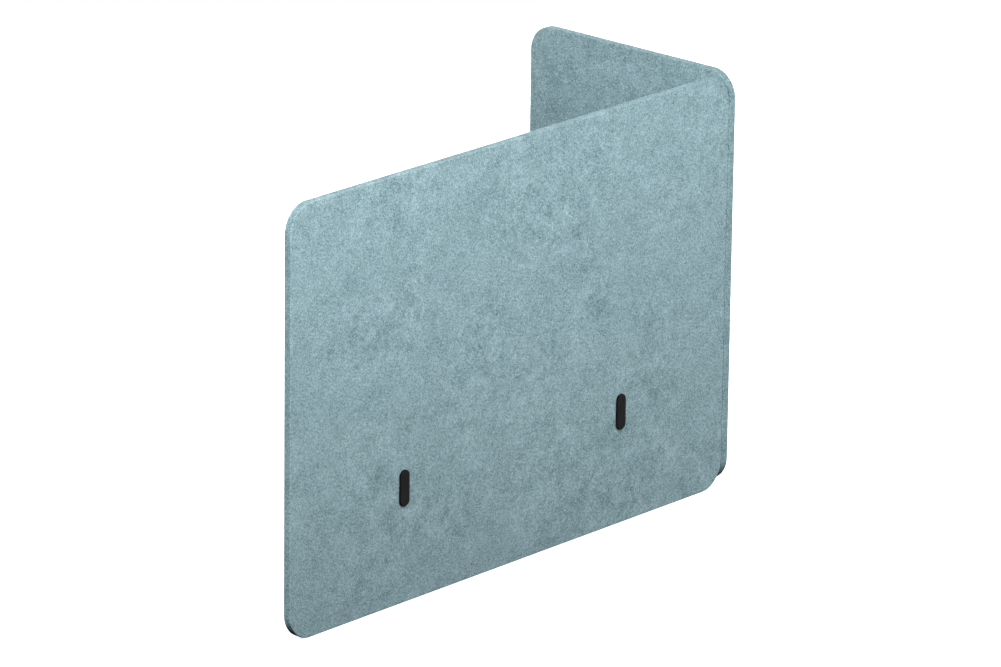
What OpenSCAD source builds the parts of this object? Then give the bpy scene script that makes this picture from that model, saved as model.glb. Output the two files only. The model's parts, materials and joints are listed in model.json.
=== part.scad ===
// L-shaped desk privacy panel: two felt boards joined at one corner,
// held on the desk edge by three screw clamps.
// +X runs along the front board, +Y towards the far end of the return board,
// +Z up. The origin is under the middle of the whole panel.

/* [Boards] */
// Length of the front board
front_l = 870; // [700:10:1400]
// Depth of the return board
return_l = 370; // [320:10:600]
// Height of both boards
board_h = 600; // [450:10:700]
// Thickness of the felt
board_t = 12; // [10:1:16]
// Radius of the boards' corners
corner_r = 38.5; // [10:0.5:45]
// Gap between the front board's end and the return board
corner_gap = 0.4; // [0.2:0.1:2]
// How far the return board's near end stands in front of the front board
corner_proud = 1; // [0:0.5:3]

/* [Clamps] */
// Distance of each front clamp from the board's end, as a share of its length
clamp_share = 0.25; // [0.15:0.01:0.35]
// Height of the clamp caps' centres above the bottom edge
clamp_z = 163; // [140:1:200]
// Width of the clamp bracket
bracket_w = 40; // [30:1:50]
// Thickness of the bracket's steel
bracket_t = 4; // [3:0.5:5]
// Reach of the clamp's jaws from the board
jaw_reach = 62; // [60:1:80]
// Height between the jaws
throat = 48; // [42:1:50]
// Travel of the pressure foot
foot_travel = 24; // [18:1:24]
// Radius of the pressure foot
foot_r = 17; // [14:0.5:18]

/* [Caps] */
// Width of the cap on the outer face
cap_w = 17.5; // [15:0.5:24]
// Height of the cap on the outer face
cap_h = 51.5; // [46:0.5:60]
// How far the cap stands out of the felt
cap_t = 3; // [2:0.5:5]

/* [Knobs] */
// Radius over the knob's lobes
knob_r = 20; // [18:0.5:22]
// Number of lobes on the knob
knob_lobes = 6; // [5:1:7]

/* [Corner joint] */
// Length of each leg of the corner brackets
angle_leg = 40; // [36:1:50]
// Height of the corner brackets
angle_h = 30; // [20:1:40]
// Thickness of the corner brackets
angle_t = 3; // [2:0.5:3]

/* [Hidden] */
$fn = 72;
eps = 0.01;

felt_colour = [0.55, 0.68, 0.71];
black = [0.13, 0.13, 0.13];
steel = [0.72, 0.73, 0.75];
brass = [0.78, 0.63, 0.33];
rubber = [0.20, 0.20, 0.21];

// the corner frame: front board's inner face on Y = 0, its left end on X = 0
return_x = front_l + corner_gap;
return_y0 = -board_t - corner_proud;
min_y = min(return_y0, -board_t - cap_t);
max_y = return_y0 + return_l;
origin_x = (return_x + board_t + cap_t) / 2;
origin_y = (min_y + max_y) / 2;

// fixings between cap and bracket
fix_z = 14;
boss_r = 4.5;
boss_gap = 0.3;
boss_l = board_t - 3.5;
insert_r = 3.5;
insert_l = board_t - 5;
m5_r = 2.5;
m5_l = bracket_t + board_t - 4;

// heights of the clamp, from its cap's centre down
seat_z = clamp_z - 30;
flange_top = clamp_z + 28;
jaw_pad_t = 2;
low_z = seat_z - throat;
nut_h = 6.5;
nut_af = 13;
m8_r = 4;
m8_gap = 0.06;
axis_y = 38;
foot_z = low_z + 2;
foot_t = 5;
foot_pad_t = 2.5;
neck_r = 2.8;
neck_gap = 0.08;
knob_top = low_z - bracket_t - nut_h - foot_travel - 1.5;
hub_h = 6;
lobe_h = 14;

// corner bracket heights and screw places
angle_zs = [30, 315, 525];
angle_screws = [14, 31];
pilot_r = 2;
felt_screw_l = board_t - 1.7;

module in_frame() { translate([-origin_x, -origin_y, 0]) children(); }

// places a clamp's local frame: board's inner face on Y = 0, jaws towards +Y
module at_clamp(which) {
    in_frame()
        if (which == 0) translate([front_l * clamp_share, 0, 0]) children();
        else if (which == 1) translate([front_l * (1 - clamp_share), 0, 0]) children();
        else translate([return_x, return_y0 + return_l / 2, 0]) rotate([0, 0, 90]) children();
}

module rounded_outline(l, h, r) {
    union() {
        translate([r, 0]) square([l - 2 * r, h]);
        translate([0, r]) square([l, h - 2 * r]);
        for (x = [r, l - r], z = [r, h - r]) translate([x, z]) circle(r = r, $fn = 96);
    }
}

// a board lying in XZ, its inner face on Y = 0
module board(l) {
    rotate([90, 0, 0]) linear_extrude(board_t) rounded_outline(l, board_h, corner_r);
}

module boss_holes() {
    for (z = [clamp_z - fix_z, clamp_z + fix_z])
        translate([0, 1, z]) rotate([90, 0, 0]) cylinder(r = boss_r + boss_gap, h = board_t + 2);
}

module pilot_holes() {
    for (z0 = angle_zs, s = angle_screws)
        translate([-s, 1, z0 + angle_h / 2]) rotate([90, 0, 0]) cylinder(r = pilot_r, h = board_t + 0.1, $fn = 32);
}

module front_board() {
    color(felt_colour) in_frame() difference() {
        board(front_l);
        for (x = [front_l * clamp_share, front_l * (1 - clamp_share)]) translate([x, 0, 0]) boss_holes();
        translate([return_x, 0, 0]) pilot_holes();
    }
}

module return_board() {
    color(felt_colour) in_frame() difference() {
        translate([return_x, return_y0, 0]) rotate([0, 0, 90]) board(return_l);
        translate([return_x, return_y0 + return_l / 2, 0]) rotate([0, 0, 90]) boss_holes();
        translate([return_x, 0, 0]) rotate([0, 0, 90]) mirror([1, 0, 0]) pilot_holes();
    }
}

// steel angle inside the corner, seen in plan and extruded up
module corner_bracket(z0) {
    color(black) in_frame() translate([return_x, 0, z0]) difference() {
        linear_extrude(angle_h) difference() {
            union() {
                translate([-angle_leg, 0]) square([angle_leg, angle_t]);
                translate([-angle_t, 0]) square([angle_t, angle_leg]);
                translate([-angle_t - 3, angle_t - eps]) square([3 + eps, 3 + eps]);
            }
            translate([-angle_t - 3, angle_t + 3]) circle(r = 3);
        }
        for (s = angle_screws) {
            translate([-s, angle_t + 1, angle_h / 2]) rotate([90, 0, 0]) cylinder(r = pilot_r + 0.3, h = angle_t + 2);
            translate([-angle_t - 1, s, angle_h / 2]) rotate([0, 90, 0]) cylinder(r = pilot_r + 0.3, h = angle_t + 2);
        }
    }
}
module corner_bracket_lower() { corner_bracket(angle_zs[0]); }
module corner_bracket_middle() { corner_bracket(angle_zs[1]); }
module corner_bracket_upper() { corner_bracket(angle_zs[2]); }

// short thread-forming screw, its head's underside on Y = 0, shank towards -Y
module felt_screw() {
    rotate([90, 0, 0]) difference() {
        rotate_extrude($fn = 48) polygon([
            [0, -2.2], [3.0, -2.2], [3.8, -1.4], [3.8, 0], [pilot_r - 0.1, 0],
            [pilot_r - 0.1, felt_screw_l - 1 + angle_t], [0, felt_screw_l + angle_t]
        ]);
        for (a = [0, 90]) rotate([0, 0, a]) translate([-1.6, -0.4, -2.5]) cube([3.2, 0.8, 1.5]);
    }
}

module corner_screws() {
    color(steel) in_frame() for (z0 = angle_zs, s = angle_screws) {
        translate([return_x - s, angle_t, z0 + angle_h / 2]) felt_screw();
        translate([return_x - angle_t, s, z0 + angle_h / 2]) rotate([0, 0, 90]) felt_screw();
    }
}

// oblong cap on the outer face with two bosses that pass into the felt
module cap(which) {
    color(black) at_clamp(which) difference() {
        union() {
            translate([0, -board_t, clamp_z]) rotate([90, 0, 0]) linear_extrude(cap_t) union() {
                square([cap_w, cap_h - cap_w], center = true);
                for (s = [-1, 1]) translate([0, s * (cap_h - cap_w) / 2]) circle(r = cap_w / 2);
            }
            for (z = [clamp_z - fix_z, clamp_z + fix_z])
                translate([0, -board_t + boss_l, z]) rotate([90, 0, 0]) cylinder(r = boss_r, h = boss_l + eps);
        }
        for (z = [clamp_z - fix_z, clamp_z + fix_z])
            translate([0, -board_t + boss_l + 1, z]) rotate([90, 0, 0]) cylinder(r = insert_r, h = insert_l + 1);
    }
}

module inserts(which) {
    color(brass) at_clamp(which) for (z = [clamp_z - fix_z, clamp_z + fix_z])
        translate([0, -board_t + boss_l, z]) rotate([90, 0, 0]) difference() {
            cylinder(r = insert_r, h = insert_l);
            translate([0, 0, -1]) cylinder(r = m5_r + 0.05, h = insert_l + 2);
        }
}

// button-head screws through the bracket into the inserts
module fixing_screws(which) {
    color(steel) at_clamp(which) for (z = [clamp_z - fix_z, clamp_z + fix_z])
        translate([0, bracket_t, z]) rotate([90, 0, 0]) difference() {
            union() {
                rotate_extrude() polygon([
                    [0, -2.8], [2.6, -2.8], [4.1, -2.0], [4.75, -0.8], [4.75, 0], [0, 0]
                ]);
                translate([0, 0, -eps]) cylinder(r = m5_r, h = m5_l);
            }
            translate([0, 0, -3]) cylinder(r = 1.73, h = 2, $fn = 6);
        }
}

// side view of the bracket: Y to the right, Z up
module bracket_profile() {
    difference() {
        union() {
            translate([0, low_z - bracket_t]) square([bracket_t, flange_top - low_z + bracket_t]);
            translate([0, seat_z]) square([jaw_reach, bracket_t]);
            translate([0, low_z - bracket_t]) square([jaw_reach, bracket_t]);
            translate([bracket_t - eps, low_z - eps]) difference() {
                square([3, 3]);
                translate([3, 3]) circle(r = 3);
            }
            translate([bracket_t - eps, seat_z + bracket_t - eps]) difference() {
                square([3, 3]);
                translate([3, 3]) circle(r = 3);
            }
        }
        difference() {
            translate([-1, low_z - bracket_t - 1]) square([8, 8]);
            translate([7, low_z - bracket_t + 7]) circle(r = 7);
        }
    }
}

// takes a square corner off an upright or a flat plate
module corner_cutter(r, h) {
    difference() {
        cube([r + 1, r + 1, h]);
        translate([0, 0, -1]) cylinder(r = r, h = h + 2);
    }
}

module bracket(which) {
    color(black) at_clamp(which) difference() {
        translate([-bracket_w / 2, 0, 0]) rotate([90, 0, 90]) linear_extrude(bracket_w) bracket_profile();
        for (s = [0, 1]) mirror([s, 0, 0]) {
            translate([bracket_w / 2 - 9, jaw_reach - 9, low_z - bracket_t - 1]) corner_cutter(9, bracket_t + 2);
            translate([bracket_w / 2 - 9, jaw_reach - 9, seat_z - 1]) corner_cutter(9, bracket_t + 2);
            translate([bracket_w / 2 - 9, bracket_t + 1, flange_top - 9]) rotate([90, 0, 0]) corner_cutter(9, bracket_t + 2);
        }
        for (z = [clamp_z - fix_z, clamp_z + fix_z])
            translate([0, bracket_t + 1, z]) rotate([90, 0, 0]) cylinder(r = m5_r + 0.25, h = bracket_t + 2);
        translate([0, axis_y, low_z - bracket_t - 1]) cylinder(r = m8_r + 0.5, h = bracket_t + 2);
    }
}

// rubber sheet under the upper jaw
module jaw_pad(which) {
    color(rubber) at_clamp(which) translate([-bracket_w / 2 + 2, 8, seat_z - jaw_pad_t]) linear_extrude(jaw_pad_t)
        rounded_outline(bracket_w - 4, jaw_reach - 10, 7);
}

// hexagonal nut welded under the lower jaw
module nut(which) {
    color(steel) at_clamp(which) translate([0, axis_y, low_z - bracket_t - nut_h]) difference() {
        intersection() {
            cylinder(r = nut_af / 2 / cos(30), h = nut_h, $fn = 6);
            rotate_extrude() polygon([
                [0, 0], [nut_af / 2 - 0.2, 0], [nut_af / 2 + 1.2, 0.9], [nut_af / 2 + 1.2, nut_h], [0, nut_h]
            ]);
        }
        translate([0, 0, -1]) cylinder(r = m8_r + m8_gap, h = nut_h + 2);
    }
}

// round foot that the screw presses up against the desktop
module foot(which) {
    color(steel) at_clamp(which) translate([0, axis_y, foot_z]) rotate_extrude() polygon([
        [neck_r + neck_gap, 0], [foot_r - 4, 0], [foot_r, 2], [foot_r, foot_t],
        [5.6, foot_t], [5.6, foot_t - 2], [neck_r + neck_gap, foot_t - 2]
    ]);
}

module foot_pad(which) {
    color(rubber) at_clamp(which) translate([0, axis_y, foot_z + foot_t]) cylinder(r = foot_r - 1, h = foot_pad_t);
}

// clamp screw: plain cylinder at the thread's outer size, riveted neck on top
module clamp_screw(which) {
    color(steel) at_clamp(which) translate([0, axis_y, 0]) rotate_extrude() polygon([
        [0, knob_top - 12], [m8_r, knob_top - 12], [m8_r, foot_z - 1.0], [m8_r - 0.8, foot_z - 0.2],
        [neck_r, foot_z - 0.2], [neck_r, foot_z + foot_t - 1.8], [4.8, foot_z + foot_t - 1.8],
        [4.2, foot_z + foot_t - 0.4], [0, foot_z + foot_t - 0.4]
    ]);
}

// moulded star knob on the lower end of the screw
module knob(which) {
    color(black) at_clamp(which) translate([0, axis_y, knob_top - hub_h - lobe_h]) difference() {
        union() {
            linear_extrude(lobe_h) union() {
                circle(r = knob_r - 4.6);
                for (i = [0 : knob_lobes - 1]) rotate(i * 360 / knob_lobes) translate([knob_r - 5.5, 0]) circle(r = 5.5);
            }
            translate([0, 0, lobe_h - eps]) cylinder(r = 9, h = hub_h + eps);
        }
        translate([0, 0, lobe_h + hub_h - 12]) cylinder(r = m8_r, h = 13);
    }
}

module clamp_a_cap() { cap(0); }
module clamp_a_inserts() { inserts(0); }
module clamp_a_fixing_screws() { fixing_screws(0); }
module clamp_a_bracket() { bracket(0); }
module clamp_a_jaw_pad() { jaw_pad(0); }
module clamp_a_nut() { nut(0); }
module clamp_a_foot() { foot(0); }
module clamp_a_foot_pad() { foot_pad(0); }
module clamp_a_screw() { clamp_screw(0); }
module clamp_a_knob() { knob(0); }
module clamp_b_cap() { cap(1); }
module clamp_b_inserts() { inserts(1); }
module clamp_b_fixing_screws() { fixing_screws(1); }
module clamp_b_bracket() { bracket(1); }
module clamp_b_jaw_pad() { jaw_pad(1); }
module clamp_b_nut() { nut(1); }
module clamp_b_foot() { foot(1); }
module clamp_b_foot_pad() { foot_pad(1); }
module clamp_b_screw() { clamp_screw(1); }
module clamp_b_knob() { knob(1); }
module clamp_c_cap() { cap(2); }
module clamp_c_inserts() { inserts(2); }
module clamp_c_fixing_screws() { fixing_screws(2); }
module clamp_c_bracket() { bracket(2); }
module clamp_c_jaw_pad() { jaw_pad(2); }
module clamp_c_nut() { nut(2); }
module clamp_c_foot() { foot(2); }
module clamp_c_foot_pad() { foot_pad(2); }
module clamp_c_screw() { clamp_screw(2); }
module clamp_c_knob() { knob(2); }

front_board();
return_board();
corner_bracket_lower();
corner_bracket_middle();
corner_bracket_upper();
corner_screws();
clamp_a_cap();
clamp_a_inserts();
clamp_a_fixing_screws();
clamp_a_bracket();
clamp_a_jaw_pad();
clamp_a_nut();
clamp_a_foot();
clamp_a_foot_pad();
clamp_a_screw();
clamp_a_knob();
clamp_b_cap();
clamp_b_inserts();
clamp_b_fixing_screws();
clamp_b_bracket();
clamp_b_jaw_pad();
clamp_b_nut();
clamp_b_foot();
clamp_b_foot_pad();
clamp_b_screw();
clamp_b_knob();
clamp_c_cap();
clamp_c_inserts();
clamp_c_fixing_screws();
clamp_c_bracket();
clamp_c_jaw_pad();
clamp_c_nut();
clamp_c_foot();
clamp_c_foot_pad();
clamp_c_screw();
clamp_c_knob();
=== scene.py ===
import bpy, bmesh, json, math
import numpy as np
from mathutils import Matrix, Vector, noise


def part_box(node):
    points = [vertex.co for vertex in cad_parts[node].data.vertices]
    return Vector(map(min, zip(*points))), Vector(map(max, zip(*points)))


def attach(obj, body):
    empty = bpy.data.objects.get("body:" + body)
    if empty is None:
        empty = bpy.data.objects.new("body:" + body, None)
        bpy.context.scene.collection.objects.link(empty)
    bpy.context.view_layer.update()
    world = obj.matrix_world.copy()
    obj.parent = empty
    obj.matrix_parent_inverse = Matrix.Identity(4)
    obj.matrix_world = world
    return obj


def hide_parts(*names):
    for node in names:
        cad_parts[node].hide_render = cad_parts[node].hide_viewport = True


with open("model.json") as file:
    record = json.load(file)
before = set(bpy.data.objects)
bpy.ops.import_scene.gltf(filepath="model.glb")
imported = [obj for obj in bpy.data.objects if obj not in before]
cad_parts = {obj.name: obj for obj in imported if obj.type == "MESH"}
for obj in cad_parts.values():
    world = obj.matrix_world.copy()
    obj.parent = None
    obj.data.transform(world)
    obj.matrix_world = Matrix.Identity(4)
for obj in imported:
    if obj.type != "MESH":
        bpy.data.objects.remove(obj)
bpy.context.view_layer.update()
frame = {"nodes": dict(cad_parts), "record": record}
nodes = frame["nodes"]
scene = bpy.context.scene


# ---------------------------------------------------------------- camera
def make_camera():
    data = bpy.data.cameras.new("camera")
    cam = bpy.data.objects.new("camera", data)
    scene.collection.objects.link(cam)
    scene.camera = cam
    data.sensor_width = 36.0
    data.lens = 249.35
    data.clip_start, data.clip_end = 0.1, 60.0
    az, el, roll = 0.83725, 0.3193, 0.01235
    d = Vector((math.sin(az) * math.cos(el), math.cos(az) * math.cos(el), -math.sin(el)))
    r = Vector((math.cos(az), -math.sin(az), 0))
    u = r.cross(d)
    rc = r * math.cos(roll) + u * math.sin(roll)
    uc = u * math.cos(roll) - r * math.sin(roll)
    m = Matrix((rc, uc, -d)).transposed().to_4x4()
    m.translation = Vector((-6.5829, -6.0828, 3.2476))
    cam.matrix_world = m


make_camera()


# ---------------------------------------------------------------- light
def area(name, loc, target, size, power, colour=(1, 1, 1)):
    data = bpy.data.lights.new(name, "AREA")
    data.shape = "RECTANGLE"
    data.size, data.size_y = size
    data.energy = power
    data.color = colour
    o = bpy.data.objects.new(name, data)
    scene.collection.objects.link(o)
    o.location = loc
    o.visible_camera = False
    o.rotation_mode = "QUATERNION"
    o.rotation_quaternion = (Vector(target) - Vector(loc)).to_track_quat("-Z", "Y")
    return o


FRONT, LEFT, RIGHT, BACK, TOP, SKY, LOW = 29.6, 91.0, 5.1, 70.0, 6.5, 0.08, 0.0
area("key_front", (-0.32, -1.21, 1.14), (-0.09, -0.1, 0.35), (2.9, 0.7), FRONT)
area("key_left", (-2.58, -0.38, 2.70), (0.0, -0.1, 0.35), (1.0, 1.0), LEFT)
area("fill_right", (1.30, -1.00, 0.40), (0.30, -0.18, 0.30), (0.6, 0.6), RIGHT)
area("back", (1.5, 1.9, 0.9), (0.0, 0.1, 0.3), (1.0, 1.0), BACK)
area("top_return", (0.95, 0.90, 1.25), (0.43, 0.20, 0.60), (0.5, 0.5), TOP)

world = bpy.data.worlds.new("studio")
scene.world = world
world.use_nodes = True
wt = world.node_tree
wt.nodes.clear()
tc = wt.nodes.new("ShaderNodeTexCoord")
sep = wt.nodes.new("ShaderNodeSeparateXYZ")
ramp = wt.nodes.new("ShaderNodeMapRange")
ramp.inputs["From Min"].default_value = -0.25
ramp.inputs["From Max"].default_value = 0.25
ramp.inputs["To Min"].default_value = LOW
ramp.inputs["To Max"].default_value = SKY
bg = wt.nodes.new("ShaderNodeBackground")
wo = wt.nodes.new("ShaderNodeOutputWorld")
wt.links.new(tc.outputs["Generated"], sep.inputs[0])
wt.links.new(sep.outputs["Z"], ramp.inputs["Value"])
wt.links.new(ramp.outputs[0], bg.inputs["Strength"])
wt.links.new(bg.outputs[0], wo.inputs["Surface"])

scene.view_settings.view_transform = "Standard"
scene.view_settings.look = "None"


# ---------------------------------------------------------------- floor
def make_floor():
    me = bpy.data.meshes.new("floor")
    bm = bmesh.new()
    bmesh.ops.create_grid(bm, x_segments=8, y_segments=8, size=14.0)
    bm.to_mesh(me)
    bm.free()
    o = bpy.data.objects.new("floor", me)
    scene.collection.objects.link(o)
    o.location = (0, 0, -0.0005)
    mat = bpy.data.materials.new("floor")
    mat.use_nodes = True
    b = mat.node_tree.nodes["Principled BSDF"]
    b.inputs["Base Color"].default_value = (0.86, 0.86, 0.86, 1)
    b.inputs["Roughness"].default_value = 0.9
    b.inputs["Specular IOR Level"].default_value = 0.1
    b.inputs["Emission Color"].default_value = (1, 1, 1, 1)
    b.inputs["Emission Strength"].default_value = 0.80
    me.materials.append(mat)
    # the object is lit by the studio alone, so its undersides stay as dark as a cut-out picture shows them
    o.visible_diffuse = False
    o.visible_glossy = False


make_floor()


# ---------------------------------------------------------------- node helpers
class Tree:
    """Small helper that adds shader nodes and links them."""

    def __init__(self, name):
        self.mat = bpy.data.materials.new(name)
        self.mat.use_nodes = True
        self.t = self.mat.node_tree
        self.bsdf = self.t.nodes["Principled BSDF"]
        tc = self.t.nodes.new("ShaderNodeTexCoord")
        self.co = tc.outputs["Object"]

    def new(self, kind, **props):
        n = self.t.nodes.new(kind)
        for k, v in props.items():
            setattr(n, k, v)
        return n

    def put(self, socket, value):
        if isinstance(value, bpy.types.NodeSocket):
            self.t.links.new(value, socket)
        else:
            socket.default_value = value

    def noise(self, scale, detail=2.0, rough=0.5, distort=0.0, vec=None, lac=2.0):
        n = self.new("ShaderNodeTexNoise")
        self.put(n.inputs["Vector"], vec or self.co)
        n.inputs["Scale"].default_value = scale
        n.inputs["Detail"].default_value = detail
        n.inputs["Roughness"].default_value = rough
        n.inputs["Lacunarity"].default_value = lac
        n.inputs["Distortion"].default_value = distort
        return n

    def math(self, op, a, b=0.0, c=0.0, clamp=False):
        n = self.new("ShaderNodeMath", operation=op, use_clamp=clamp)
        for s, v in zip(n.inputs, (a, b, c)):
            self.put(s, v)
        return n.outputs[0]

    def vmath(self, op, a, b=(0, 0, 0)):
        n = self.new("ShaderNodeVectorMath", operation=op)
        self.put(n.inputs[0], a)
        if op == "SCALE":
            n.inputs["Scale"].default_value = b
        else:
            self.put(n.inputs[1], b)
        return n.outputs[0]

    def ramp(self, value, stops, mode="LINEAR"):
        n = self.new("ShaderNodeValToRGB")
        self.put(n.inputs["Fac"], value)
        e = n.color_ramp.elements
        n.color_ramp.interpolation = mode
        while len(e) < len(stops):
            e.new(0.5)
        for el, (p, c) in zip(e, stops):
            el.position = p
            el.color = (c, c, c, 1) if isinstance(c, (int, float)) else (*c, 1)
        return n.outputs["Color"]

    def mix(self, fac, a, b, blend="MIX"):
        n = self.new("ShaderNodeMix", data_type="RGBA", blend_type=blend)
        self.put(n.inputs[0], fac)
        for s, v in ((n.inputs[6], a), (n.inputs[7], b)):
            if isinstance(v, tuple) and len(v) == 3:
                v = (*v, 1)
            self.put(s, v)
        return n.outputs[2]

    def map(self, value, a, b, c, d, clamp=True):
        n = self.new("ShaderNodeMapRange", clamp=clamp)
        self.put(n.inputs["Value"], value)
        for k, v in zip(("From Min", "From Max", "To Min", "To Max"), (a, b, c, d)):
            n.inputs[k].default_value = v
        return n.outputs[0]

    def bump(self, height, strength, distance, normal=None):
        n = self.new("ShaderNodeBump")
        self.put(n.inputs["Height"], height)
        n.inputs["Strength"].default_value = strength
        n.inputs["Distance"].default_value = distance
        if normal is not None:
            self.put(n.inputs["Normal"], normal)
        return n.outputs["Normal"]

    def set(self, **kw):
        for k, v in kw.items():
            self.put(self.bsdf.inputs[k.replace("_", " ")], v)


# ---------------------------------------------------------------- felt
FELT = (0.272, 0.410, 0.450)
# mottling of the felt: (noise scale per metre, contrast), from single fibres up to soft clouds
MOTTLE = ((1100.0, 0.50), (640.0, 0.85), (400.0, 0.68), (210.0, 0.32), (105.0, 0.28), (52.0, 0.29), (24.0, 0.25))


def felt_material(name, normal):
    """Pressed polyester felt: curled fibres in every direction, lighter and darker, over soft clouds.
    normal is the board's own normal, so that the fibres lie in its face."""
    t = Tree(name)
    warp = t.noise(310.0, 1.0, 0.5)
    wv = t.vmath("SCALE", t.vmath("SUBTRACT", warp.outputs["Color"], (0.5, 0.5, 0.5)), 0.004)
    v = None
    keep = []
    # some places of the sheet are blotchier than others
    calm = t.map(t.noise(6.5, 1.0, 0.5).outputs["Fac"], 0.34, 0.66, 0.60, 1.32)
    for k, (scale, amount) in enumerate(MOTTLE):
        # each layer is turned, so that no direction of the noise's own grid shows
        rot = t.new("ShaderNodeVectorRotate", rotation_type="AXIS_ANGLE")
        t.put(rot.inputs["Vector"], t.co)
        rot.inputs["Axis"].default_value = (0.35, 0.52, 0.78)
        rot.inputs["Angle"].default_value = 0.7 + 1.13 * k
        src = t.noise(scale, 0.0, 0.5, vec=rot.outputs[0]).outputs["Fac"]
        keep.append(src)
        d = t.math("SUBTRACT", src, 0.5)
        if scale < 300.0:
            d = t.math("MULTIPLY", d, calm)
        v = t.math("MULTIPLY_ADD", d, amount, v if v is not None else 1.0)
    fine, tuft = keep[1], keep[2]
    co = t.vmath("ADD", t.co, wv)
    # bundles and single fibres: thin ridges of stretched noise, turned to several directions
    strands = []
    for i, (ang, across, along, lo_, hi_) in enumerate(((0.15, 2100.0, 230.0, 0.60, 0.70), (0.68, 1900.0, 210.0, 0.60, 0.70), (1.20, 2300.0, 250.0, 0.60, 0.70),
                                                      (1.72, 2000.0, 220.0, 0.60, 0.70), (2.25, 1900.0, 240.0, 0.60, 0.70), (2.77, 2200.0, 230.0, 0.60, 0.70),
                                                      (0.42, 5200.0, 330.0, 0.60, 0.68), (1.46, 4800.0, 300.0, 0.60, 0.68), (2.50, 5000.0, 320.0, 0.60, 0.68))):
        rot = t.new("ShaderNodeVectorRotate", rotation_type="AXIS_ANGLE")
        t.put(rot.inputs["Vector"], co)
        rot.inputs["Axis"].default_value = normal
        rot.inputs["Angle"].default_value = ang
        m = t.vmath("MULTIPLY", rot.outputs[0], (across, across, along))
        n = t.noise(1.0, 0.0, 0.5, vec=t.vmath("ADD", m, (7.3 * i, 3.1 * i, 1.7 * i))).outputs["Fac"]
        strands.append(t.map(n, lo_, hi_, 0.0, 1.0))
    light = t.math("MAXIMUM", t.math("MAXIMUM", strands[0], strands[2]), strands[4])
    dark = t.math("MAXIMUM", t.math("MAXIMUM", strands[1], strands[3]), strands[5])
    hair = t.math("MAXIMUM", t.math("MAXIMUM", strands[6], strands[7]), strands[8])
    v = t.math("MULTIPLY_ADD", light, 0.27, v)
    v = t.math("MULTIPLY_ADD", dark, -0.30, v)
    v = t.math("MULTIPLY_ADD", hair, 0.22, v)
    # the cut edge shows the pressed layers and fibres on end as a grain, and it is darkened overall: partly real grain,
    # partly painted shade that keeps the top and the ends of the board darker than its face
    tc = t.new("ShaderNodeTexCoord")
    dot = t.new("ShaderNodeVectorMath", operation="DOT_PRODUCT")
    t.put(dot.inputs[0], tc.outputs["Normal"])
    dot.inputs[1].default_value = normal
    edge = t.map(t.math("ABSOLUTE", dot.outputs["Value"]), 0.20, 0.80, 1.0, 0.0)
    layers = t.noise(1.0, 1.0, 0.5, vec=t.vmath("MULTIPLY", t.co, tuple(1300.0 if c else 190.0 for c in normal))).outputs["Fac"]
    nap = t.noise(480.0, 1.0, 0.6).outputs["Fac"]
    edge_grain_and_shade = t.math("MULTIPLY_ADD", t.math("SUBTRACT", layers, 0.5), 0.75, 0.88)
    edge_grain_and_shade = t.math("MULTIPLY_ADD", t.math("SUBTRACT", nap, 0.5), 0.65, edge_grain_and_shade)
    # painted shade: the edge faces are multiplied by about 0.88 on average, with the layer grain round that
    v = t.math("MULTIPLY", v, t.math("MULTIPLY_ADD", t.math("SUBTRACT", edge_grain_and_shade, 1.0), edge, 1.0))
    v = t.math("MAXIMUM", v, 0.30)
    # painted shade: faces turned downwards are darkened, down to about a quarter on the underside of a cut edge
    up = t.new("ShaderNodeSeparateXYZ")
    t.put(up.inputs[0], tc.outputs["Normal"])
    v = t.math("MULTIPLY", v, t.map(up.outputs["Z"], -0.75, -0.12, 0.24, 1.0))
    # dark fibres are a little bluer than light ones
    comb = t.new("ShaderNodeCombineColor")
    t.put(comb.inputs[0], t.math("MULTIPLY", t.math("POWER", v, 1.18), FELT[0]))
    t.put(comb.inputs[1], t.math("MULTIPLY", v, FELT[1]))
    t.put(comb.inputs[2], t.math("MULTIPLY", t.math("POWER", v, 0.97), FELT[2]))
    h = t.math("ADD", t.math("MULTIPLY", fine, 0.6), t.math("MULTIPLY", tuft, 0.7))
    h = t.math("MULTIPLY_ADD", t.math("MAXIMUM", light, dark), 0.45, h)
    h = t.math("MULTIPLY_ADD", hair, 0.30, h)
    t.set(Base_Color=comb.outputs[0], Roughness=0.95, Normal=t.bump(h, 0.6, 0.0005))
    t.bsdf.inputs["Specular IOR Level"].default_value = 0.12
    t.bsdf.inputs["Sheen Weight"].default_value = 0.03
    t.bsdf.inputs["Sheen Roughness"].default_value = 0.5
    return t.mat


FELT_MATS = {"x": felt_material("felt_front", (0.0, 1.0, 0.0)), "y": felt_material("felt_return", (1.0, 0.0, 0.0))}

# profile of an edge: (inset from the outline, depth from the face), in mm
ARRIS = 1.6


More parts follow.
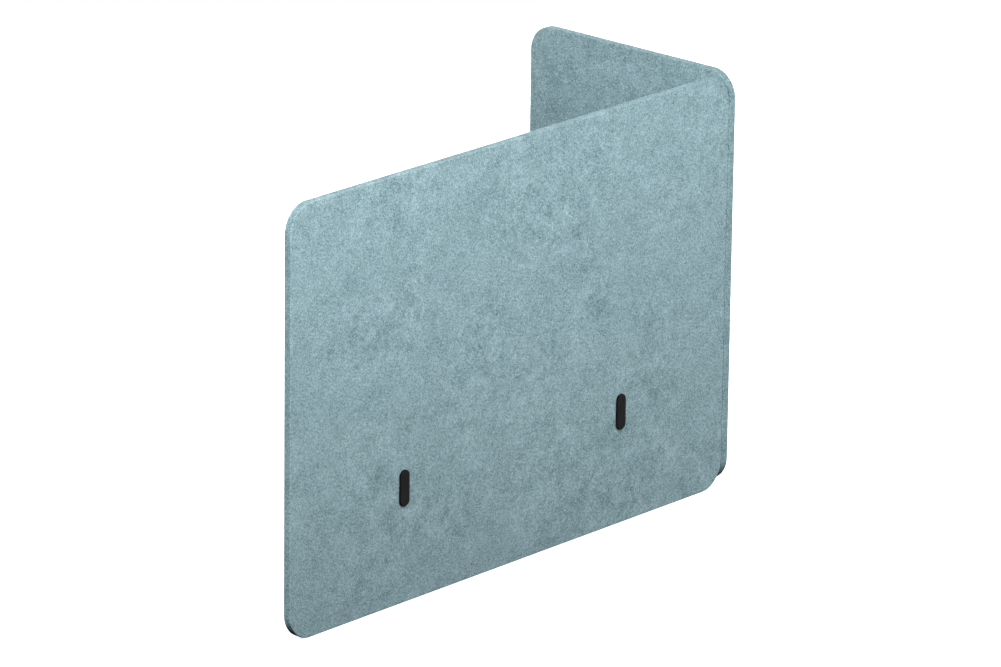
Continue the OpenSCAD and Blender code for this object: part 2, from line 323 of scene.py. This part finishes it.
def board_mesh(name, length, height, thick, radius, seed):
    """A felt board in local (u, w) with its thickness along v, all quads: two gridded faces and rings over the rounded edge."""
    cell = 5.0
    n_arc = 12
    mx = int(round((length - 2 * radius) / cell))
    mz = int(round((height - 2 * radius) / cell))

    def loop(inset):
        r = radius - inset
        L, Hh = length - inset, height - inset
        pts = []
        corners = [(length - radius, radius, -90), (length - radius, height - radius, 0), (radius, height - radius, 90), (radius, radius, 180)]
        sides = [mz, mx, mz, mx]
        # starts in the middle of the lower-right arc and runs anticlockwise
        for i, (cx, cz, a0) in enumerate(corners):
            arc = [(cx + r * math.cos(math.radians(a0 + 90 * k / n_arc)), cz + r * math.sin(math.radians(a0 + 90 * k / n_arc))) for k in range(n_arc + 1)]
            nxt = corners[(i + 1) % 4]
            b = (nxt[0] + r * math.cos(math.radians(nxt[2])), nxt[1] + r * math.sin(math.radians(nxt[2])))
            a = arc[-1]
            pts += arc
            pts += [(a[0] + (b[0] - a[0]) * k / sides[i], a[1] + (b[1] - a[1]) * k / sides[i]) for k in range(1, sides[i])]
        h = n_arc // 2
        return pts[h:] + pts[:h]

    verts, faces = [], []

    def add_loop(inset, depth):
        base = len(verts)
        for x, z in loop(inset):
            verts.append((x, depth, z))
        return base, len(verts) - base

    a = ARRIS
    insets = [14.0, 8.0, 4.5, 2.6]
    rings = [(i, 0.0) for i in insets]
    steps = 5
    for k in range(steps + 1):
        th = math.pi / 2 * k / steps
        rings.append((a - a * math.sin(th), a - a * math.cos(th)))
    rings += [(0.0, a + (thick - 2 * a) * f) for f in (0.2, 0.4, 0.6, 0.8)]
    for k in range(steps + 1):
        th = math.pi / 2 * k / steps
        rings.append((a - a * math.cos(th), thick - a + a * math.sin(th)))
    rings += [(i, thick) for i in reversed(insets)]
    bases = [add_loop(i, d) for i, d in rings]
    n = bases[0][1]
    for (b0, _), (b1, _) in zip(bases, bases[1:]):
        for k in range(n):
            k2 = (k + 1) % n
            faces.append((b0 + k, b0 + k2, b1 + k2, b1 + k))
    # gridded faces inside the first and last ring
    nz, nx = mz + n_arc, mx + n_arc
    for which in (0, -1):
        b0, depth = bases[which][0], rings[which][1]
        ring = [b0 + k for k in range(n)]
        right = ring[0 : nz + 1]                       # upwards
        top = ring[nz : nz + nx + 1]                   # right to left
        left = ring[nz + nx : 2 * nz + nx + 1]         # downwards
        bottom = ring[2 * nz + nx :] + [ring[0]]       # left to right
        P = lambda i: np.array((verts[i][0], verts[i][2]))
        g = [[None] * (nz + 1) for _ in range(nx + 1)]
        for j in range(nz + 1):
            g[nx][j] = right[j]
            g[0][j] = left[nz - j]
        for i in range(nx + 1):
            g[i][nz] = top[nx - i]
            g[i][0] = bottom[i]
        for i in range(1, nx):
            s = i / nx
            for j in range(1, nz):
                t = j / nz
                p = ((1 - t) * P(g[i][0]) + t * P(g[i][nz]) + (1 - s) * P(g[0][j]) + s * P(g[nx][j])
                     - (1 - s) * (1 - t) * P(g[0][0]) - s * t * P(g[nx][nz]) - s * (1 - t) * P(g[nx][0]) - (1 - s) * t * P(g[0][nz]))
                g[i][j] = len(verts)
                verts.append((p[0], depth, p[1]))
        for i in range(nx):
            for j in range(nz):
                q = (g[i][j], g[i + 1][j], g[i + 1][j + 1], g[i][j + 1])
                faces.append(q if which == 0 else q[::-1])
    v = np.array(verts)
    return v, faces


def felt_board(name, node, along, seed):
    lo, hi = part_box(node)
    if along == "x":
        length, thick = (hi.x - lo.x) * 1000, (hi.y - lo.y) * 1000
    else:
        length, thick = (hi.y - lo.y) * 1000, (hi.x - lo.x) * 1000
    height = (hi.z - lo.z) * 1000
    v, faces = board_mesh(name, length, height, thick, 38.5, seed)
    # soft unevenness of pressed felt: a few tenths of a millimetre
    off = Vector((seed * 37.0, seed * 11.0, seed * 5.0))
    out = np.zeros_like(v)
    for k, (x, y, z) in enumerate(v):
        p = Vector((x, y, z))
        dx = min(x, length - x)
        dz = min(z, height - z)
        edge = min(dx, dz)
        side = -1.0 if y < thick / 2 else 1.0
        flat = min(1.0, max(0.0, (edge - 1.0) / 6.0))
        n1 = noise.noise(p / 55.0 + off)
        n2 = noise.noise(p / 17.0 + off * 2)
        n3 = noise.noise(p / 7.0 + off * 3)
        face = flat * (0.16 * n1 + 0.10 * n2 + 0.05 * n3)
        wob = (1 - flat) * (0.10 * noise.noise(p / 22.0 + off * 4) + 0.06 * noise.noise(p / 6.0 + off * 5))
        out[k] = (x - math.copysign(wob, x - length / 2) * (1 if dx < dz else 0.3),
                  y + side * (face - 0.12 * flat),
                  z - abs(wob) * (1 if z > height / 2 else 0) )
    v = out / 1000.0
    if along == "x":
        co = np.c_[v[:, 0] + lo.x, v[:, 1] + lo.y, v[:, 2] + lo.z]
    else:
        co = np.c_[hi.x - v[:, 1], v[:, 0] + lo.y, v[:, 2] + lo.z]
    me = bpy.data.meshes.new(name)
    me.from_pydata(co.tolist(), [], faces)
    me.update()
    bm = bmesh.new()
    bm.from_mesh(me)
    bmesh.ops.recalc_face_normals(bm, faces=bm.faces)
    bm.to_mesh(me)
    bm.free()
    for p in me.polygons:
        p.use_smooth = True
    o = bpy.data.objects.new(name, me)
    scene.collection.objects.link(o)
    me.materials.append(FELT_MATS[along])
    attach(o, "panel")
    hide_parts(node)
    return o


felt_board("front_felt", "front_board", "x", 1)
felt_board("return_felt", "return_board", "y", 2)


# ---------------------------------------------------------------- hard materials
def plastic(name, colour, rough, grain, depth, gloss=0.18, face=None):
    """Moulded plastic with a fine spark-eroded grain and a faint flow mark.
    With a face normal given, the flanks round that face get painted shade and come out darker than the face itself."""
    t = Tree(name)
    g = t.noise(grain, 2.0, 0.6).outputs["Fac"]
    c = t.noise(60.0, 2.0, 0.5).outputs["Fac"]
    f = t.math("MULTIPLY_ADD", t.math("SUBTRACT", g, 0.5), 0.5, t.map(c, 0.3, 0.7, 0.88, 1.12))
    # painted shade: the flanks round the face are darkened, down to a quarter of the face's colour
    if face is not None:
        tc = t.new("ShaderNodeTexCoord")
        dot = t.new("ShaderNodeVectorMath", operation="DOT_PRODUCT")
        t.put(dot.inputs[0], tc.outputs["Normal"])
        dot.inputs[1].default_value = face
        f = t.math("MULTIPLY", f, t.map(t.math("ABSOLUTE", dot.outputs["Value"]), 0.55, 0.95, 0.25, 1.0))
    comb = t.new("ShaderNodeCombineColor")
    for i in range(3):
        t.put(comb.inputs[i], t.math("MULTIPLY", f, colour[i]))
    t.set(Base_Color=comb.outputs[0], Roughness=t.map(g, 0.3, 0.7, rough - 0.08, rough + 0.10),
          Normal=t.bump(g, 0.35, depth))
    t.bsdf.inputs["Specular IOR Level"].default_value = gloss
    return t.mat


def powder_coat(name):
    """Black powder coat on steel: orange peel, fine speckle and a little dust."""
    t = Tree(name)
    peel = t.noise(520.0, 1.0, 0.5).outputs["Fac"]
    grit = t.noise(2600.0, 2.0, 0.6).outputs["Fac"]
    dust = t.noise(34.0, 3.0, 0.6).outputs["Fac"]
    f = t.math("MULTIPLY_ADD", t.math("SUBTRACT", grit, 0.5), 0.6, t.map(dust, 0.35, 0.75, 0.9, 1.35))
    comb = t.new("ShaderNodeCombineColor")
    for i, c in enumerate((0.026, 0.026, 0.027)):
        t.put(comb.inputs[i], t.math("MULTIPLY", f, c))
    h = t.math("MULTIPLY_ADD", grit, 0.35, peel)
    t.set(Base_Color=comb.outputs[0], Roughness=t.map(dust, 0.3, 0.7, 0.40, 0.56), Normal=t.bump(h, 0.50, 0.00030))
    return t.mat


def metal(name, colour, rough, tint, brushed):
    """Plated metal: fine turning or rolling marks, cloudy plating and small stains."""
    t = Tree(name)
    m = t.vmath("MULTIPLY", t.co, brushed)
    lines = t.noise(1.0, 2.0, 0.6, vec=m).outputs["Fac"]
    cloud = t.noise(85.0, 3.0, 0.6).outputs["Fac"]
    spot = t.map(t.noise(420.0, 1.0, 0.5).outputs["Fac"], 0.62, 0.75, 0.0, 1.0)
    col = t.mix(t.map(cloud, 0.35, 0.65, 0.0, 1.0), colour, tint)
    col = t.mix(t.math("MULTIPLY", spot, 0.35), col, tuple(0.55 * c for c in colour))
    r = t.math("MULTIPLY_ADD", t.math("SUBTRACT", lines, 0.5), 0.25, t.map(cloud, 0.3, 0.7, rough - 0.05, rough + 0.07))
    t.set(Base_Color=col, Roughness=r, Normal=t.bump(lines, 0.25, 0.00008))
    t.bsdf.inputs["Metallic"].default_value = 1.0
    return t.mat


def rubber(name):
    """Matt black rubber with a moulded skin and a dusting of talc."""
    t = Tree(name)
    g = t.noise(1700.0, 2.0, 0.6).outputs["Fac"]
    dust = t.noise(55.0, 4.0, 0.65).outputs["Fac"]
    f = t.math("MULTIPLY_ADD", t.math("SUBTRACT", g, 0.5), 0.5, t.map(dust, 0.4, 0.75, 0.85, 1.7))
    comb = t.new("ShaderNodeCombineColor")
    for i, c in enumerate((0.030, 0.030, 0.031)):
        t.put(comb.inputs[i], t.math("MULTIPLY", f, c))
    t.set(Base_Color=comb.outputs[0], Roughness=t.map(dust, 0.3, 0.7, 0.72, 0.90), Normal=t.bump(g, 0.4, 0.00015))
    t.bsdf.inputs["Specular IOR Level"].default_value = 0.25
    return t.mat


MATS = {
    "cap_plastic": plastic("cap_plastic", (0.0125, 0.0122, 0.0122), 0.62, 2400.0, 0.00010, 0.08),
    "knob_plastic": plastic("knob_plastic", (0.0170, 0.0170, 0.0175), 0.50, 1800.0, 0.00014),
    "black_steel": powder_coat("black_steel"),
    "zinc_steel": metal("zinc_steel", (0.60, 0.61, 0.62), 0.34, (0.53, 0.55, 0.58), (90.0, 90.0, 2600.0)),
    "brass": metal("brass", (0.72, 0.54, 0.25), 0.30, (0.62, 0.45, 0.20), (90.0, 2600.0, 90.0)),
    "rubber": rubber("rubber"),
}
# the caps' flanks carry painted shade, so there is one copy for each way the caps face
CAP_MATS = {"x": plastic("cap_front", (0.0195, 0.0190, 0.0190), 0.62, 2400.0, 0.00010, 0.08, (0.0, 1.0, 0.0)),
            "y": plastic("cap_return", (0.0195, 0.0190, 0.0190), 0.62, 2400.0, 0.00010, 0.08, (1.0, 0.0, 0.0))}


# ---------------------------------------------------------------- mesh helpers (lengths in mm)
def circle(r):
    return lambda th: r


def hexagon(af, turn=0.0):
    return lambda th: af / 2 / math.cos(((th + turn) % (math.pi / 3)) - math.pi / 6)


def cross(length, half):
    def f(th):
        a = th % (math.pi / 2)
        a = min(a, math.pi / 2 - a)
        return min(length / math.cos(a), half / max(math.sin(a), 1e-6))
    return f


def loft(rings, closed=False):
    """rings: lists of the same number of points. Closed joins the last ring to the first; otherwise both ends get a face."""
    n = len(rings[0])
    verts = [p for r in rings for p in r]
    faces = []
    m = len(rings)
    for i in range(m if closed else m - 1):
        a, b = i * n, ((i + 1) % m) * n
        for k in range(n):
            k2 = (k + 1) % n
            faces.append((a + k, a + k2, b + k2, b + k))
    if not closed:
        faces.append(tuple(range(n))[::-1])
        faces.append(tuple((m - 1) * n + k for k in range(n)))
    return verts, faces


def turned(profile, n=48, closed=False):
    """Rings about the Z axis from (radius or function of the angle, z or function of the radius)."""
    rings = []
    for r, z in profile:
        f = r if callable(r) else circle(r)
        pts = []
        for k in range(n):
            th = 2 * math.pi * k / n
            rr = f(th)
            pts.append((rr * math.cos(th), rr * math.sin(th), z(rr) if callable(z) else z))
        rings.append(pts)
    return loft(rings, closed)


def moved(part, fn):
    v, f = part
    return [fn(*p) for p in v], f


def piece(name, parts, to_world, node, mat, sharp=35.0, body=None, merge=0.0):
    verts, faces = [], []
    for v, f in parts:
        base = len(verts)
        verts += [tuple(c / 1000.0 for c in to_world(*p)) for p in v]
        faces += [tuple(base + i for i in q) for q in f]
    me = bpy.data.meshes.new(name)
    me.from_pydata(verts, [], faces)
    bm = bmesh.new()
    bm.from_mesh(me)
    if merge:
        bmesh.ops.remove_doubles(bm, verts=bm.verts, dist=merge)
        bmesh.ops.dissolve_degenerate(bm, dist=1e-7, edges=bm.edges)
        edges = [e for e in bm.edges if e.is_boundary]
        if edges:
            bmesh.ops.holes_fill(bm, edges=edges, sides=0)
    bmesh.ops.recalc_face_normals(bm, faces=bm.faces)
    bm.to_mesh(me)
    bm.free()
    for p in me.polygons:
        p.use_smooth = True
    me.set_sharp_from_angle(angle=math.radians(sharp))
    o = bpy.data.objects.new(name, me)
    scene.collection.objects.link(o)
    me.materials.append(MATS[mat])
    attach(o, body or body_of[node])
    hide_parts(node)
    return o


body_of = {}
for bname, binfo in frame["record"]["behaviour"]["bodies"].items() if isinstance(frame["record"]["behaviour"]["bodies"], dict) else [(b["name"], b) for b in frame["record"]["behaviour"]["bodies"]]:
    for nn in (binfo["nodes"] if isinstance(binfo, dict) else binfo):
        body_of[nn] = bname


def mm(node):
    lo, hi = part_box(node)
    return lo * 1000, hi * 1000


# ---------------------------------------------------------------- clamps
def oblong(w, h, inset, y, n=20):
    """Stadium outline in XZ about the origin at depth y."""
    r = w / 2 - inset
    pts = []
    for s, a0 in ((1, 0.0), (-1, math.pi)):
        for k in range(n + 1):
            a = a0 + math.pi * k / n
            pts.append((r * math.cos(a), y, s * (h - w) / 2 + r * math.sin(a)))
    return pts


def cap_parts(w, h, t, z_fix, boss_end):
    y0, y1 = 0.0, -t
    rings = [oblong(w, h, w / 2 - 0.3, y0), oblong(w, h, 0.9, y0), oblong(w, h, 0.0, y0), oblong(w, h, 0.0, y0 - 0.6),
             oblong(w, h, 0.0, y1 * 0.55)]
    e = 0.7
    for k in range(6):
        a = math.pi / 2 * k / 5
        rings.append(oblong(w, h, e - e * math.cos(a), y1 + e - e * math.sin(a)))
    rings += [oblong(w, h, i, y1 + d) for i, d in ((1.2, 0.0), (3.0, 0.0), (5.5, 0.0), (w / 2 - 0.3, 0.0))]
    parts = [loft(rings)]
    for s in (-1, 1):
        prof = [(4.5, 0.2), (4.5, -boss_end + 0.4), (4.2, -boss_end), (3.7, -boss_end), (3.5, -boss_end + 0.3), (3.5, -1.5), (0.4, -1.5)]
        prof = [(0.4, 0.2)] + prof
        parts.append(moved(turned(prof, 32), lambda x, y, z, s=s: (x, -z, s * z_fix + y)))
    return parts


def thread(z0, z1, major, minor, pitch, n=32):
    """A helical thread between two heights: rows follow the helix and close on the next turn."""
    us = (0.14, 0.44, 0.56, 0.86)

    def f(u):
        u %= 1.0
        if u < us[0] or u >= us[3]:
            return minor
        if u < us[1]:
            return minor + (major - minor) * (u - us[0]) / (us[1] - us[0])
        if u < us[2]:
            return major
        return major - (major - minor) * (u - us[2]) / (us[3] - us[2])

    turns = int((z1 - z0) / pitch) + 4
    verts, faces = [], []
    rows = turns * 4
    for k in range(rows + 4):
        m, i = divmod(k, 4)
        for c in range(n):
            th = 2 * math.pi * c / n
            z = z0 + pitch * (m - 2 + us[i] + c / n)
            z = min(max(z, z0), z1)
            r = f((z - z0) / pitch - c / n)
            r = min(r, minor - 0.1 + (z1 - z), minor - 0.1 + (z - z0) + 0.4)
            verts.append((r * math.cos(th), r * math.sin(th), z))
    for k in range(rows):
        for c in range(n):
            a, b = k * n + c, (k + 1) * n + c
            if c < n - 1:
                faces.append((a, a + 1, b + 1, b))
            else:
                faces.append((a, (k + 4) * n, (k + 5) * n, b) if k + 5 < rows + 4 else (a, (k + 4) * n, b))
    return verts, faces


def clamp(k):
    blo, bhi = mm(f"clamp_{k}_bracket")
    clo, chi = mm(f"clamp_{k}_cap")
    if bhi.y - blo.y > bhi.x - blo.x:      # jaws towards +Y
        cx, face = (blo.x + bhi.x) / 2, blo.y
        world = lambda x, y, z: (cx + x, face + y, z)
        outer = clo.y - face
        along = "x"
    else:                                  # jaws towards -X
        cy, face = (blo.y + bhi.y) / 2, bhi.x
        world = lambda x, y, z: (face - y, cy + x, z)
        outer = face - chi.x
        along = "y"
    name = f"clamp_{k}_"
    cap_z = (clo.z + chi.z) / 2
    cap_h = chi.z - clo.z
    cap_w = chi.x - clo.x if bhi.y - blo.y > bhi.x - blo.x else chi.y - clo.y
    flo, fhi = mm(name + "fixing_screws")
    fix = (fhi.z - flo.z) / 2 - 4.75
    # outer face of the felt: the cap is 3 mm thick
    felt_y = outer + 3.0
    boss = -3.5 - felt_y
    at_cap = lambda x, y, z: world(x, felt_y + y, cap_z + z)
    cap = piece(name + "cap_moulding", cap_parts(cap_w, cap_h, 3.0, fix, boss), at_cap, name + "cap", "cap_plastic", 30)
    cap.data.materials[0] = CAP_MATS[along]

    # button-head screws, their axes along Y, head's underside on the bracket
    hexs = hexagon(3.0)
    head = [(0.3, -12.0), (2.1, -12.0), (2.45, -11.6), (2.45, -0.15), (4.6, -0.02), (4.75, 0.12), (4.75, 0.55), (4.66, 0.95), (4.4, 1.4), (4.0, 1.85),
            (3.45, 2.28), (2.8, 2.62), (2.25, 2.78), (2.0, 2.8), (lambda th: hexs(th) + 0.14, 2.8), (hexs, 2.62), (hexs, 1.0), (0.3, 0.7)]
    parts = [moved(turned(head, 48), lambda x, y, z, s=s: (x, bt + z, cap_z + s * fix + y)) for s in (-1, 1) for bt in (4.0,)]
    piece(name + "button_screws", parts, world, name + "fixing_screws", "zinc_steel", 32)

    # rubber sheet with cross ribs under the upper jaw
    jlo, jhi = mm(name + "jaw_pad")
    j0, j1 = (jlo.y - face, jhi.y - face) if bhi.y - blo.y > bhi.x - blo.x else (face - jhi.x, face - jlo.x)
    ribbed_pad(name + "ribbed_pad", name + "jaw_pad", world, 18.0, j0, j1, jlo.z, jhi.z)

    slo, shi = mm(name + "screw")
    ax = ((slo.y + shi.y) / 2 - face) if bhi.y - blo.y > bhi.x - blo.x else face - (slo.x + shi.x) / 2
    on_axis = lambda x, y, z: world(x, ax + y, z)

    # nut with chamfered corners and a weld bead
    nlo, nhi = mm(name + "nut")
    hx = hexagon(13.0)
    z0, z1 = nlo.z, nhi.z
    bead = lambda w: (lambda th: hx(th) + w + 0.12 * math.sin(23 * th) * (w > 0.2))
    prof = [(4.08, z1), (bead(1.2), z1), (bead(1.0), z1 - 0.45), (bead(0.55), z1 - 0.95), (bead(0.0), z1 - 1.3), (hx, z1 - 1.6),
            (hx, lambda r: z0 + max(0.0, (r - 6.3)) * 0.6 + 0.02), (6.25, z0), (4.75, z0), (4.08, z0 + 0.6)]
    piece(name + "weld_nut", [turned(prof, 72, closed=True)], on_axis, name + "nut", "zinc_steel", 30)

    # swivel foot and its pad
    flo, fhi = mm(name + "foot")
    z = flo.z
    foot = [(2.9, 0.0), (12.3, 0.0), (13.1, 0.12), (16.5, 1.75), (16.9, 2.1), (17.0, 2.5), (17.0, 4.6), (16.85, 4.87), (16.6, 5.0), (6.0, 5.0), (5.7, 4.85), (5.6, 4.6),
            (5.6, 3.0), (2.9, 3.0)]
    piece(name + "swivel_foot", [turned([(r, z + h) for r, h in foot], 72, closed=True)], on_axis, name + "foot", "zinc_steel", 32)
    plo, phi = mm(name + "foot_pad")
    z, t = plo.z, phi.z - plo.z
    pr = [(1.2, 0.0), (15.5, 0.0), (15.9, 0.15), (16.0, 0.5), (16.0, t - 0.5), (15.85, t - 0.15), (15.5, t)]
    r = 14.6
    while r > 3.0:
        pr += [(r, t), (r - 0.25, t - 0.55), (r - 0.95, t - 0.55), (r - 1.2, t)]
        r -= 2.6
    pr += [(1.2, t)]
    piece(name + "grooved_pad", [turned([(a, z + h) for a, h in pr], 72)], on_axis, name + "foot_pad", "rubber", 30)

    # clamp screw: threaded rod with a riveted neck
    klo, khi = mm(name + "knob")
    zt = flo.z - 0.2
    rod = turned([(0.4, slo.z), (3.4, slo.z), (3.7, slo.z + 0.3), (3.7, khi.z + 0.4), (3.0, khi.z + 0.8), (0.4, khi.z + 0.8)], 32)
    neck = turned([(0.4, zt - 1.0), (2.8, zt - 1.0), (2.8, shi.z - 1.4), (4.6, shi.z - 1.4), (4.8, shi.z - 1.2), (4.75, shi.z - 0.9), (4.3, shi.z - 0.35), (3.4, shi.z - 0.08),
                   (2.0, shi.z), (0.4, shi.z)], 40)
    piece(name + "threaded_rod", [rod, thread(khi.z - 0.6, zt, 4.0, 3.3, 1.25), neck], on_axis, name + "screw", "zinc_steel", 28, merge=2e-6)

    # moulded star knob
    lobes = lambda th: 20.0 - 4.3 * (0.5 - 0.5 * math.cos(6 * th)) ** 1.35

    def kr(inset, circ=None, part=0.0):
        return lambda th: (1 - part) * (lobes(th) - inset) + part * (circ or 0.0)
    b = klo.z
    prof = [(0.5, b + 1.2), (6.2, b + 1.2), (6.6, b + 1.0), (6.9, b + 0.2), (7.2, b), (kr(4.0, 8.6, 0.8), b), (kr(4.0, 11.0, 0.35), b), (kr(2.4), b)]
    prof += [(kr(2.4 - 2.4 * math.sin(math.pi / 12 * i)), b + 2.4 - 2.4 * math.cos(math.pi / 12 * i)) for i in range(1, 7)]
    prof += [(kr(0.0), b + 6.0), (kr(0.0), b + 10.8)]
    prof += [(kr(3.2 - 3.2 * math.cos(math.pi / 12 * i)), b + 10.8 + 3.2 * math.sin(math.pi / 12 * i)) for i in range(1, 7)]
    prof += [(kr(4.0, 11.6, 0.5), b + 14.0), (11.0, b + 14.02), (10.0, b + 14.25), (9.35, b + 14.8), (9.05, b + 15.6), (9.0, b + 19.0), (8.85, b + 19.6), (8.5, b + 19.92), (8.0, b + 20.0),
             (4.7, b + 20.0), (4.3, b + 19.6), (4.2, b + 12.0), (0.5, b + 12.0)]
    piece(name + "star_knob", [turned(prof, 120)], on_axis, name + "knob", "knob_plastic", 40)


def ribbed_pad(name, node, world, half, y0, y1, z0, z1):
    r, n = 7.0, 8
    pts = []
    for cx, cy, a0 in ((half - r, y1 - r, 0.0), (-half + r, y1 - r, 90.0), (-half + r, y0 + r, 180.0), (half - r, y0 + r, 270.0)):
        for k in range(n + 1):
            a = math.radians(a0 + 90.0 * k / n)
            pts.append((cx + r * math.cos(a), cy + r * math.sin(a)))
    me = bpy.data.meshes.new(name)
    bm = bmesh.new()
    low = [bm.verts.new((x, y, z0)) for x, y in pts]
    high = [bm.verts.new((x, y, z1)) for x, y in pts]
    m = len(pts)
    bm.faces.new(low[::-1])
    bm.faces.new(high)
    for k in range(m):
        bm.faces.new((low[k], low[(k + 1) % m], high[(k + 1) % m], high[k]))
    # cuts across the sheet: groove walls every 3.6 mm
    y = y0 + 3.0
    grooves = []
    while y < y1 - 3.0:
        grooves.append(y)
        for c in (y - 0.9, y - 0.6, y + 0.6, y + 0.9):
            bmesh.ops.bisect_plane(bm, geom=bm.verts[:] + bm.edges[:] + bm.faces[:], plane_co=(0, c, 0), plane_no=(0, 1, 0))
        y += 3.6
    for v in bm.verts:
        if v.co.z < (z0 + z1) / 2 and any(abs(v.co.y - g) < 0.7 for g in grooves):
            v.co.z += 0.7
    for v in bm.verts:
        v.co = Vector(world(*v.co)) / 1000.0
    bmesh.ops.recalc_face_normals(bm, faces=bm.faces)
    bm.to_mesh(me)
    bm.free()
    for p in me.polygons:
        p.use_smooth = True
    me.set_sharp_from_angle(angle=math.radians(32))
    o = bpy.data.objects.new(name, me)
    scene.collection.objects.link(o)
    me.materials.append(MATS["rubber"])
    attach(o, body_of[node])
    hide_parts(node)


for k in "abc":
    clamp(k)


# ---------------------------------------------------------------- corner screws
def corner_screws():
    cr = cross(1.75, 0.42)
    small = cross(1.35, 0.30)
    prof = [(0.3, -13.3), (1.0, -12.9)]
    z = -12.3
    while z < -0.9:
        prof += [(1.5, z), (1.9, z + 0.4), (1.5, z + 0.8)]
        z += 1.1
    prof += [(1.8, -0.2), (3.6, -0.02), (3.8, 0.15), (3.8, 0.8), (3.74, 1.2), (3.5, 1.62), (3.1, 1.93), (2.6, 2.12), (2.1, 2.2), (lambda th: cr(th) + 0.1, 2.2), (cr, 2.1), (small, 0.9), (0.15, 0.5)]
    parts = []
    for w in ("lower", "middle", "upper"):
        lo, hi = mm("corner_bracket_" + w)
        zc = (lo.z + hi.z) / 2
        for s in (14.0, 31.0):
            base = turned(prof, 64)
            parts.append(moved(base, lambda x, y, z: (hi.x - s + x, lo.y + 3.0 + z, zc + y)))
            parts.append(moved(base, lambda x, y, z: (hi.x - 3.0 - z, lo.y + s + x, zc + y)))
    piece("corner_pan_screws", parts, lambda x, y, z: (x, y, z), "corner_screws", "zinc_steel", 32)


corner_screws()


# ---------------------------------------------------------------- carried-over parts
slots = {s["node"]: s["material_slot"] for s in frame["record"]["subparts"]}
for n, o in nodes.items():
    if slots[n] in MATS:
        o.data.materials.clear()
        o.data.materials.append(MATS[slots[n]])


def soften(node, width):
    """Small rounded edges on a carried-over steel part."""
    o = nodes[node]
    w = o.modifiers.new("weld", "WELD")
    w.merge_threshold = 1e-5
    d = o.modifiers.new("flats", "DECIMATE")
    d.decimate_type = "DISSOLVE"
    d.angle_limit = math.radians(1.0)
    b = o.modifiers.new("edges", "BEVEL")
    b.width = width
    b.segments = 2
    b.limit_method = "ANGLE"
    b.angle_limit = math.radians(50)
    b.use_clamp_overlap = True
    b.harden_normals = True


for n in nodes:
    if n.endswith("_bracket") or n.startswith("corner_bracket"):
        soften(n, 0.0006)
